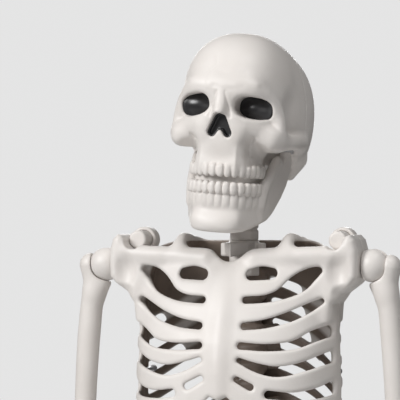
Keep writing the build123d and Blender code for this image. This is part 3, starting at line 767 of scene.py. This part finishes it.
def back_details(q, d, skin):
    """Cuts the gaps between the back ribs, and adds the spine and the shoulder blades."""
    x, y, z = q.T
    for number in range(BACK_SLOTS):
        height = 1270 - RIB_PITCH * number
        drop = min(48, height - 1092)
        slot = [(20, height, 3.6), (48, height - 0.2 * drop, 4.8), (76, height - 0.55 * drop, 5.0),
                (104, height - drop, 4.4)]
        gap = soft_max(strand(q[:, [0, 2]], slot, 4), RAIL - y, 4)
        d = soft_max(d, -gap, 4)
    # spine: bodies, cross pieces and spikes
    d = soft_min(d, bone(q, (0, 46, CHEST_BOTTOM + 10), (0, 42, 1290), 10), 4)
    for height in np.arange(CHEST_BOTTOM + 9, 1296, BONE_PITCH):
        d = soft_min(d, blob(q, (0, 44, height), (15, 15, 8.6), 2.8), 3)
        d = soft_min(d, bone(q, (0, 58, height), (21, 63, height + 3), 4.5), 4)
        d = soft_min(d, bone(q, (0, 60, height + 2), (0, 79, height - 9), 4.0, 3.2), 4)
    # shoulder blade
    blade = outline(x, z, [(50, 1280), (72, 1294), (112, 1292), (118, 1272), (98, 1244), (80, 1204),
                           (69, 1186), (61, 1200), (52, 1240)])
    blade = soft_max(blade, np.abs(skin - 1) - 3.5, 4)
    ridge = bone(q, (56, 62, 1258), (116, 30, 1296), 4.5, 6.5)
    d = join(4, d, blade, ridge)
    # sleeve round the shoulder peg
    return soft_min(d, drum(q, (PEG[0], 18, PEG[2]), 1, 13.2, 8, 1.6), 2)


def peg_field(p):
    q = folded(p)
    return drum(q, (PEG[0], 6, PEG[2]), 1, 9.4, 16, 2.6)


def chest_painted_shade(p):
    """How much painted shade darkens a point, from how far it is within the hollow of the chest: 0 outside
    to 1 inside.
    """
    return (-cage_distance(p) - 2.5) / 3.0 * (p[:, 2] < CHEST_TOP + 8)


CHEST_CELL = CELL * 1.15
# both chest shells get painted shade on their faces within the hollow
sculpt("rib_front_visual", lambda p: chest_field(p, False), (-134, -80, 1068), (134, 1, 1321), "torso",
       ["rib_front"], BONE, None, CHEST_CELL, chest_painted_shade)
sculpt("rib_back_visual", lambda p: chest_field(p, True), (-134, -1, 1068), (134, 84, 1321), "torso",
       ["rib_back"], BONE, None, CHEST_CELL, chest_painted_shade)
sculpt("shoulder_pegs_visual", peg_field, (-118, -12, 1300), (118, 24, 1324), "torso",
       ["shoulder_pegs"], BONE)

WAIST = pivot("waist_twist")


def lumbar_field(p):
    q = folded(p)
    wy, wz = WAIST[1:]
    d = bone(q, (0, wy, wz + 10), (0, wy, CHEST_BOTTOM), 10.5)
    count, bottom = 4, wz + 0.3
    for number in range(count):
        z = bottom + (number + 0.45) * ((CHEST_BOTTOM - wz) / count)
        d = soft_min(d, blob(q, (0, wy, z), (17.5, 15.5, 8.4), 3), 3)
        d = soft_min(d, bone(q, (0, wy + 8, z), (23, wy + 12, z + 1), 4.0, 3.2), 4)
        d = soft_min(d, bone(q, (0, wy + 10, z), (0, wy + 27, z - 4), 4.6, 3.6), 4)
    d = soft_min(d, drum(q, (0, wy, CHEST_BOTTOM + 5), 2, 8, 10), 2)
    return np.maximum(d, bottom - p[:, 2])


sculpt("lumbar_spine_visual", lumbar_field, (-28, 20, WAIST[2]), (28, 72, CHEST_BOTTOM + 16), "torso",
       ["lumbar_spine"], BONE, None, CELL * 1.1)

# ---- ball knuckles, hinges ----
EYE_SHARE = 0.39           # radius of the slot's round end, as a share of the ball's
SLOT_PLAY = 0.3            # room on each side of what turns in a slot
BALL_PLAY = 0.6            # room round a ball in the limb that hangs on it


def knuckle_field(place, radius, face, stub_r, stub_end, slot):
    """A ball with a flat inner side, a stub into the body and a slot for the limb."""
    x, y, z = place
    half, eye = slot / 2 + SLOT_PLAY, radius * EYE_SHARE

    def field(p):
        d = soft_max(blob(p, place, (radius,) * 3), face - p[:, 0], 1.5)
        d = soft_min(d, drum(p, ((face + stub_end) / 2, y, z), 0, stub_r, (face - stub_end) / 2 + 2), 1)
        away = 40
        room = outline(p[:, 0] - x, p[:, 2] - z,
                       [(-eye, 0), (-eye, away), (away, away), (away, -eye), (0, -eye)])
        return soft_max(d, -soft_max(room, np.abs(p[:, 1] - y) - half, 0.5), 1)
    return field


def hanger(p, place, radius, slot):
    """The flat eye and neck by which a limb hangs in its knuckle."""
    x, y, z = place
    eye, half = radius * EYE_SHARE - 0.4, slot / 2 - 0.1
    neck = brick(p, (x + radius / 2 + 2, y, z), (radius / 2 + 3, half, eye), 0.6)
    return soft_min(drum(p, place, 1, eye, half, 0.6), neck, 0.5)


def forked(p, d, place, radius, width, slot, room):
    """Gives a limb's lower end a barrel across X with a slot for the next limb's tongue."""
    x, y, z = place
    cheeks = drum(p, place, 0, radius, width / 2, 3.5)
    d = soft_min(d, cheeks, 5)
    gap = brick(p, (x, y, z - room / 2), (slot / 2 + SLOT_PLAY, room, room / 2 + radius + 2), 1.2)
    return soft_max(d, -gap, 1.2)


def tongued(p, d, place, radius, slot, drop):
    """Gives a limb's upper end a tongue that turns in a fork."""
    x, y, z = place
    half = slot / 2 - 0.1
    root = brick(p, (x, y, z - drop / 2), (half, radius * 0.66, drop / 2), 1)
    return soft_min(d, soft_min(drum(p, place, 0, radius, half, 1), root, 0.5), 1)


# ---- arms ----
SHOULDER, ELBOW = pivot("left_shoulder_raise"), pivot("left_elbow")


def bent_elbow():
    """The turn about the elbow that takes a straight forearm to its place at rest."""
    axis = joints["left_wrist_turn"]["axis"]
    length = math.hypot(axis[1], axis[2])
    c, s = axis[2] / length, axis[1] / length
    place = np.eye(4)
    place[:3, :3] = [[1, 0, 0], [0, c, s], [0, -s, c]]
    place[:3, 3] = ELBOW - place[:3, :3] @ ELBOW
    return place


BENT = bent_elbow()
WRIST = BENT[:3, :3].T @ (pivot("left_wrist_bend") - BENT[:3, 3])    # with the elbow straight
SHOULDER_R, SHOULDER_FACE, ARM_SLOT = 17.5, 133.0, 10.0
ELBOW_R, ELBOW_WIDTH, ELBOW_SLOT = 14.0, 29.0, 9.4


def humerus_field(p):
    ex, ey, ez = ELBOW
    shaft = strand(p, [(160, -3, 1286, 12), (158, -2, 1271, 10.8), (158.4, -2, 1256, 11.3),
                       (160.6, -2, 1236, 11.7), (163.0, -2, 1210, 11.8), (165.0, -2, 1180, 11.5),
                       (166.5, -2, 1150, 11.2), (169.5, -3, 1070, 11.0),
                       (ex, ey, ez + 34, 11.5)], 4)
    neck = bone(p, (148, -2, 1268), (154.5, -2, 1257), 9.0, 8.5)
    d = soft_min(shaft, neck, 10)
    d = soft_min(d, blob(p, (ex, ey, ez + 22), (16.5, 9.5, 20), 2.4), 8)
    d = soft_min(d, blob(p, (ex + 13.0, ey, ez + 11), (5, 8, 9)), 5)
    d = soft_min(d, blob(p, (ex - 13.5, ey, ez + 11), (5, 8, 9)), 5)
    d = soft_max(d, -blob(p, SHOULDER, (SHOULDER_R + BALL_PLAY,) * 3), 3)
    d = soft_min(d, hanger(p, SHOULDER, SHOULDER_R, ARM_SLOT), 0.5)
    return forked(p, d, ELBOW, ELBOW_R, ELBOW_WIDTH, ELBOW_SLOT, 40)


def forearm_field(p):
    ex, ey, ez = ELBOW
    wx, wy, wz = WRIST
    ulna = strand(p, [(ex - 5, ey, ez - 26, 8.5), (ex - 9, ey - 1, ez - 60, 6.2),
                      (wx - 11.5, wy + 2, wz + 110, 5.4), (wx - 9, wy, wz + 56, 6.2),
                      (wx - 6, wy, wz + 34, 8)])
    radius = strand(p, [(ex + 6, ey, ez - 28, 7.6), (ex + 9, ey - 1, ez - 62, 6.0),
                        (wx + 12, wy + 1, wz + 120, 6.2), (wx + 10, wy, wz + 60, 7.2),
                        (wx + 6, wy, wz + 34, 9)])
    d = soft_min(ulna, radius, 6)
    d = soft_min(d, blob(p, (ex, ey, ez - 27), (12, 8.5, 11), 2.4), 6)
    d = soft_min(d, blob(p, (wx, wy, wz + 34), (15, 10.5, 13), 2.4), 6)
    d = soft_max(d, wz + 22.3 - p[:, 2], 2)
    d = soft_max(d, -drum(p, (wx, wy, wz + 25), 2, 5.3, 25), 0.5)
    guard = ELBOW_R + 1.0 - np.hypot(p[:, 1] - ey, p[:, 2] - ez)
    d = soft_max(d, guard, 1)
    return tongued(p, d, ELBOW, ELBOW_R - 1.2, ELBOW_SLOT, 24)


FIRST = -76                # height of the fingers' first knuckles, from the wrist
HAND_REACH = 96.0          # length of the longest finger beyond its first knuckle
# each finger's place across the hand and its share of that length
FINGERS = ((-22.5, 0.84), (-7.5, 1.0), (7.5, 0.94), (22.5, 0.76))


def knobbly(points, thick):
    """A finger: bars that narrow between their knuckles; thick holds each knuckle's radius."""
    rows = []
    for (a, ra), (b, rb) in zip(zip(points, thick), zip(points[1:], thick[1:])):
        a, b = np.array(a, "f4"), np.array(b, "f4")
        waist = (ra + rb) / 2 * 0.70
        rows += [(*a, ra), (*(a * 0.72 + b * 0.28), waist), (*(a * 0.3 + b * 0.7), waist)]
    return rows + [(*points[-1], thick[-1])]


def hand_field(p):
    q = p - WRIST.astype("f4")
    d = blob(q, (0, 1, -24), (17, 6.5, 13), 2.3)
    for x, y, z in ((-11, -1, -19), (-1, -2, -18), (9, -1, -19), (-14, -1, -30), (-4, -2.5, -30),
                    (6, -2.5, -31), (15, -1, -29)):
        d = soft_min(d, blob(q, (x, y, z), (6.2, 6.2, 6.4)), 1.5)
    # the thin web that ties the hand's bones together
    d = soft_min(d, blob(q, (0, 1.5, -58), (28, 2.6, 26), 3), 3)
    for number, (x, share) in enumerate(FINGERS):
        spread, drop = (number - 1.5) * 3, HAND_REACH * share
        points = [(x * 0.62, 0, -34), (x, 1, FIRST), (x + spread * 0.5, 4, FIRST - drop * 0.46),
                  (x + spread * 0.8, 10, FIRST - drop * 0.76), (x + spread, 17, FIRST - drop + 5)]
        d = soft_min(d, chain(q, knobbly(points, (5.6, 6.4, 5.7, 5.2, 4.4))), 2.2)
    thumb = [(-13, 0, -26), (-31, 7, -52), (-41, 13, -78), (-45, 19, -98)]
    d = soft_min(d, chain(q, knobbly(thumb, (6.4, 6.6, 6.0, 4.8))), 2.5)
    # between the arms of the wrist's fork only the tongue is left
    d = soft_max(d, -soft_max(3.0 - np.abs(q[:, 0]), -13.5 - q[:, 2], 0.5), 0.8)
    tongue = soft_min(drum(q, (0, 0, 0), 0, 7.0, 3.2, 0.8), brick(q, (0, 0, -8), (3.2, 5, 9), 0.8), 0.5)
    return soft_min(d, tongue, 1)


sculpt_pair("shoulder_knuckle", knuckle_field(SHOULDER, SHOULDER_R, SHOULDER_FACE, 5.0, 122.0, ARM_SLOT),
            (121, -21, 1268), (162, 17, 1306), "shoulder", "shoulder_knuckle")
sculpt_pair("humerus", humerus_field, (134, -22, 985), (194, 18, 1304), "upper_arm", "humerus", CELL * 1.1)
sculpt_pair("forearm", forearm_field, (ELBOW[0] - 24, -24, 800), (WRIST[0] + 24, 18, 1018), "lower_arm",
            "forearm", CELL * 1.2, BENT)
sculpt_pair("hand", hand_field, WRIST + (-58, -14, -184), WRIST + (38, 38, 10), "hand",
            "hand", CELL * 1.1, BENT)

# ---- pelvis ----
HIP, KNEE, ANKLE = (pivot("left_" + n) for n in ("hip_spread", "knee", "ankle"))
HIP_R, HIP_FACE, LEG_SLOT = 18.0, 82.0, 12.0
KNEE_R, KNEE_WIDTH, KNEE_SLOT = 18.0, 44.0, 13.4
ANKLE_R, ANKLE_WIDTH, ANKLE_SLOT = 12.0, 26.0, 10.0


def pelvis_field(p, back):
    """The back or the front shell of the pelvis."""
    q = folded(p)
    x, y, z = q.T
    (hy, hz), (wy, wz) = HIP[1:], WAIST[1:]
    # hip blade: a thick leaf that curls forward at its outer edge
    w = turned(q, (16, 46, 0), -32)
    leaf = outline(w[:, 0], w[:, 2], [(2, 935), (4, 972), (24, 990), (56, 995), (84, 986), (101, 968),
                                      (104, 946), (92, 918), (76, 896), (62, 880), (44, 884), (22, 908)])
    bend = w[:, 1] + 0.0035 * (w[:, 0] - 52) ** 2 - 6
    d = soft_max(leaf, np.abs(bend) - 3.2, 3.5)
    crest = smooth_path([(8, 974, 5), (28, 989, 6), (56, 993, 6.5), (84, 983, 6.5), (100, 964, 6),
                         (102, 944, 5)], 3)
    rim = chain(np.stack([w[:, 0], w[:, 2], bend], 1), [(u, v, 0, r) for u, v, r in crest])
    d = soft_min(d, rim, 5)
    # sacrum with its rows of holes
    base = [(24, 996), (27, 950), (17, 905), (7, 868), (-7, 868), (-17, 905), (-27, 950), (-24, 996)]
    slab = 44 + 8 * np.sin((996 - z) / 128 * math.pi)
    sacrum = soft_max(outline(x, z, base), np.abs(y - slab) - 11, 6)
    for row in (968, 944, 921, 900):
        sacrum = soft_max(sacrum, -drum(q, (8 + (row - 890) * 0.06, 44, row), 1, 3.2, 60), 2)
        sacrum = soft_min(sacrum, bone(q, (0, 58, row + 8), (0, 66, row + 2), 3.6), 4)
    sacrum = soft_min(sacrum, drum(q, (0, wy, wz - 6), 2, 19, 6, 2), 4)
    d = soft_min(d, sacrum, 5)
    # hip socket, seat bone, pubic arms
    d = soft_min(d, drum(q, (70.5, hy, hz), 0, 21.5, 11, 4), 3)
    d = soft_min(d, bone(q, (66, 12, 868), (70, 18, 915), 13, 10), 10)
    d = soft_min(d, strand(q, [(66, 16, 848, 12), (59, 27, 822, 10.5), (54, 26, 800, 11.5)]), 8)
    d = soft_min(d, strand(q, [(54, 24, 800, 9), (36, 6, 806, 6.5), (10, -19, 828, 6.5)]), 5)
    d = soft_min(d, strand(q, [(64, 2, 860, 9), (38, -12, 856, 6.6), (8, -20, 842, 7.5)]), 6)
    d = soft_min(d, blob(q, (5, -20, 835), (6, 8, 13)), 5)
    d = np.where(y > 0, d, soft_max(d, 0.5 - x, 0.5))
    d = soft_max(d, -drum(q, (76, hy, hz), 0, 6.2, 20), 0.6)
    d = soft_max(d, -drum(p, (0, wy, wz - 14), 2, 7.2, 16), 0.6)
    # room for the hip knuckles, below the blades
    d = np.where(z > 889, d, np.maximum(d, x - HIP_FACE + 0.5))
    return soft_max(d, hy - p[:, 1] if back else p[:, 1] - hy + SHELL_GAP, 0.7)


sculpt("pelvis_front_visual", lambda p: pelvis_field(p, False), (-106, -32, 784), (106, 9, 1002), "pelvis",
       ["pelvis_front"], BONE, None, CELL * 1.3)
sculpt("pelvis_back_visual", lambda p: pelvis_field(p, True), (-110, 6, 784), (110, 74, 1002), "pelvis",
       ["pelvis_back"], BONE, None, CELL * 1.3)

# ---- legs ----


def femur_field(p):
    kx, ky, kz = KNEE
    hx, hy, hz = HIP
    shaft = strand(p, [(hx + 16, hy, hz, 14), (hx + 15, hy, hz - 30, 13.5), (hx + 9, hy - 1, hz - 80, 12.6),
                       (hx + 3, hy - 4, hz - 170, 11.8), (86, 0, 600, 11.8), (80, 1, kz + 90, 13),
                       (kx, ky, kz + 44, 15)])
    d = soft_min(shaft, blob(p, (hx + 24, hy + 3, hz - 2), (9, 12, 17)), 8)
    d = soft_min(d, bone(p, (hx + 4, hy, hz - 27), (hx + 10, hy, hz - 56), 9, 8), 9)
    d = soft_min(d, blob(p, (hx + 4, hy + 9, hz - 58), (6, 7, 11)), 8)
    d = soft_min(d, blob(p, (kx, ky, kz + 24), (22, 14, 26), 2.4), 12)
    for side in (-1, 1):
        d = soft_min(d, blob(p, (kx + side * 15.5, ky + 3, kz + 4), (8.5, 16.5, 17), 2.3), 6)
    d = soft_max(d, -blob(p, HIP, (HIP_R + BALL_PLAY,) * 3), 1.5)
    d = soft_min(d, hanger(p, HIP, HIP_R, LEG_SLOT), 0.5)
    return forked(p, d, KNEE, KNEE_R, KNEE_WIDTH, KNEE_SLOT, 50)


def shank_field(p):
    kx, ky, kz = KNEE
    ax, ay, az = ANKLE
    shin = strand(p, [(kx - 1, ky, kz - 42, 13.5), (kx - 3, ky + 1, kz - 90, 11.4),
                      (kx - 5, ky + 8, 260, 10.2), (ax - 3, ay - 4, 140, 9.4), (ax - 1, ay, az + 34, 11)])
    d = soft_min(shin, blob(p, (kx, ky + 1, kz - 32), (20, 14.5, 13), 2.4), 7)
    d = soft_min(d, blob(p, (kx, ky - 11, kz - 46), (6, 5, 9)), 6)
    d = soft_min(d, blob(p, (ax - 1, ay, az + 26), (13.5, 11, 12), 2.3), 6)
    calf = strand(p, [(kx + 17, ky + 7, kz - 42, 6.4), (kx + 15, ky + 9, kz - 90, 4.4),
                      (ax + 14, ay, 200, 4.4), (ax + 12.5, ay, az + 30, 5.8)])
    d = soft_min(d, calf, 3)
    knee_room = KNEE_R + 1.2 - np.hypot(p[:, 1] - ky, p[:, 2] - kz)
    foot_room = ANKLE_R + 1.2 - np.hypot(p[:, 1] - ay, p[:, 2] - az)
    d = soft_max(soft_max(d, knee_room, 1), foot_room, 1)
    d = tongued(p, d, KNEE, KNEE_R - 1.5, KNEE_SLOT, 30)
    heel = soft_min(drum(p, ANKLE, 0, 10, 4.9, 1), brick(p, (ax, ay, az + 10), (4.9, 8, 10), 1), 0.5)
    return soft_min(d, heel, 1)


def foot_field(p):
    ax, ay, az = ANKLE
    q = p - np.array((ax, 0, 0), "f4")
    heel = blob(q, (0, 50, 19), (15, 22, 19.5), 2.3)
    d = soft_min(heel, blob(q, (0, 30, 34), (13, 16, 22)), 8)
    arch = bone(q, (0, 26, 34), (2, -34, 16), 14, 11)
    d = soft_min(d, arch, 9)
    d = soft_max(d, -blob(q, (-14, 4, 0), (16, 26, 13)), 6)
    for number in range(5):
        x = -22 + number * 11
        reach = 101 - number * number * 2.2
        lean = number - 1.5
        thick = 8.2 if number == 0 else 6.2
        points = [(x * 0.55, 2, 24 - number * 2), (x, -44, 8.6), (x + lean, -reach * 0.78, 8.2),
                  (x + lean, -reach + 3, 6.6)]
        if number:
            points.insert(3, (x + lean, -reach * 0.90, 7.2))
        sizes = (thick * 0.9,) + (thick,) * (len(points) - 2) + (thick * 0.82,)
        d = soft_min(d, chain(q, knobbly(points, sizes)), 2.5)
    d = soft_min(d, blob(q, (2, -22, 8), (25, 24, 5.5), 2.6), 5)
    d = soft_min(d, brick(q, (0, ay, az - 12), (13, 10, 12), 3), 5)
    d = soft_min(d, drum(q, (0, ay, az), 0, ANKLE_R, ANKLE_WIDTH / 2, 3), 3)
    gap = brick(q, (0, ay, az + 8), (ANKLE_SLOT / 2 + 0.4, 40, 22), 1)
    d = soft_max(d, -gap, 1)
    return soft_max(d, -p[:, 2], 1.5)


sculpt_pair("hip_knuckle", knuckle_field(HIP, HIP_R, HIP_FACE, 6.0, 66.0, LEG_SLOT),
            (65, -12, 838), (112, 28, 878), "hip", "hip_knuckle", CELL * 1.2)
sculpt_pair("femur", femur_field, (50, -20, 434), (130, 26, 878), "thigh", "femur", CELL * 1.45)
sculpt_pair("shank", shank_field, (50, -20, 56), (104, 42, 474), "lower_leg", "shank", CELL * 1.4)
sculpt_pair("foot", foot_field, (34, -108, -1), (106, 74, 82), "foot", "foot", CELL * 1.2)

# ---- fittings that keep their plain machined shape ----
MATERIALS = {"bone_plastic": BONE, "black_plastic": BLACK, "steel": STEEL}
for node, piece in frame["nodes"].items():
    if not piece.hide_render:
        piece.data.materials.clear()
        piece.data.materials.append(MATERIALS[SLOTS[node]])


# ---- camera, light, floor ----
AMBIENT = 0.17             # share of the backdrop's brightness that lights the figure
VIEW_TURN = math.radians(18)
VIEW_FAR = 3.2             # from the camera to the figure, in metres, as are the lengths below
VIEW_WIDE = 0.4102         # what the picture spans at the figure
VIEW_SIDE = 0.040          # how far left of the figure the camera aims
VIEW_HIGH = 1.353          # the camera's height
SENSOR = 36
FLOOR_HALF = 6.0


def camera():
    lens = bpy.data.cameras.new("camera")
    lens.sensor_width = SENSOR
    lens.lens = SENSOR * VIEW_FAR / VIEW_WIDE
    piece = bpy.data.objects.new("camera", lens)
    right = np.array([math.cos(VIEW_TURN), math.sin(VIEW_TURN), 0])
    toward = np.array([math.sin(VIEW_TURN), -math.cos(VIEW_TURN), 0])
    aim = np.array([0, 0, VIEW_HIGH]) - right * VIEW_SIDE
    piece.location = aim + toward * VIEW_FAR
    piece.rotation_euler = (math.pi / 2, 0, VIEW_TURN)
    bpy.context.scene.collection.objects.link(piece)
    bpy.context.scene.camera = piece


def area_light(name, place, target, size, power):
    """A soft square light at a place, turned towards its target."""
    data = bpy.data.lights.new(name, "AREA")
    data.shape = "SQUARE"
    data.size = size
    data.energy = power
    piece = bpy.data.objects.new(name, data)
    piece.location = place
    way = np.array(target) - np.array(place)
    flat = math.hypot(way[0], way[1])
    piece.rotation_euler = (math.atan2(flat, -way[2]), 0, math.atan2(-way[0], way[1]))
    bpy.context.scene.collection.objects.link(piece)


def floor():
    verts = np.array([(-1, -1, 0), (1, -1, 0), (1, 1, 0), (-1, 1, 0)]) * FLOOR_HALF * 1000
    material, tree, shader = new_material("floor")
    colour = mottle(tree, 2.0, (0.74, 0.74, 0.74), (0.78, 0.78, 0.78))
    tree.links.new(colour, shader.inputs["Base Color"])
    shader.inputs["Roughness"].default_value = 0.8
    piece = add_mesh("floor", verts, np.array([[0, 1, 2, 3]]), material)


def world():
    """A pale backdrop that lights the figure less than it shows."""
    sky = bpy.data.worlds.new("studio")
    bpy.context.scene.world = sky
    sky.use_nodes = True
    tree = sky.node_tree
    shade = tree.nodes["Background"]
    shade.inputs["Color"].default_value = (0.78, 0.78, 0.78, 1)
    path = tree.nodes.new("ShaderNodeLightPath")
    strength = span(tree, path.outputs["Is Camera Ray"], AMBIENT, 1.0)
    tree.links.new(strength, shade.inputs["Strength"])


camera()
floor()
world()
area_light("key", (-1.7, -2.3, 2.7), (0, 0, 1.35), 1.0, 81)
area_light("fill", (0.6, -3.0, 1.2), (0, 0, 1.2), 1.6, 10)
area_light("top", (0.9, -0.9, 3.5), (0, 0, 1.45), 1.2, 26)
area_light("rear", (-1.1, 3.2, 1.7), (0, 0, 1.0), 1.4, 42)
bpy.context.scene.view_settings.view_transform = "Standard"
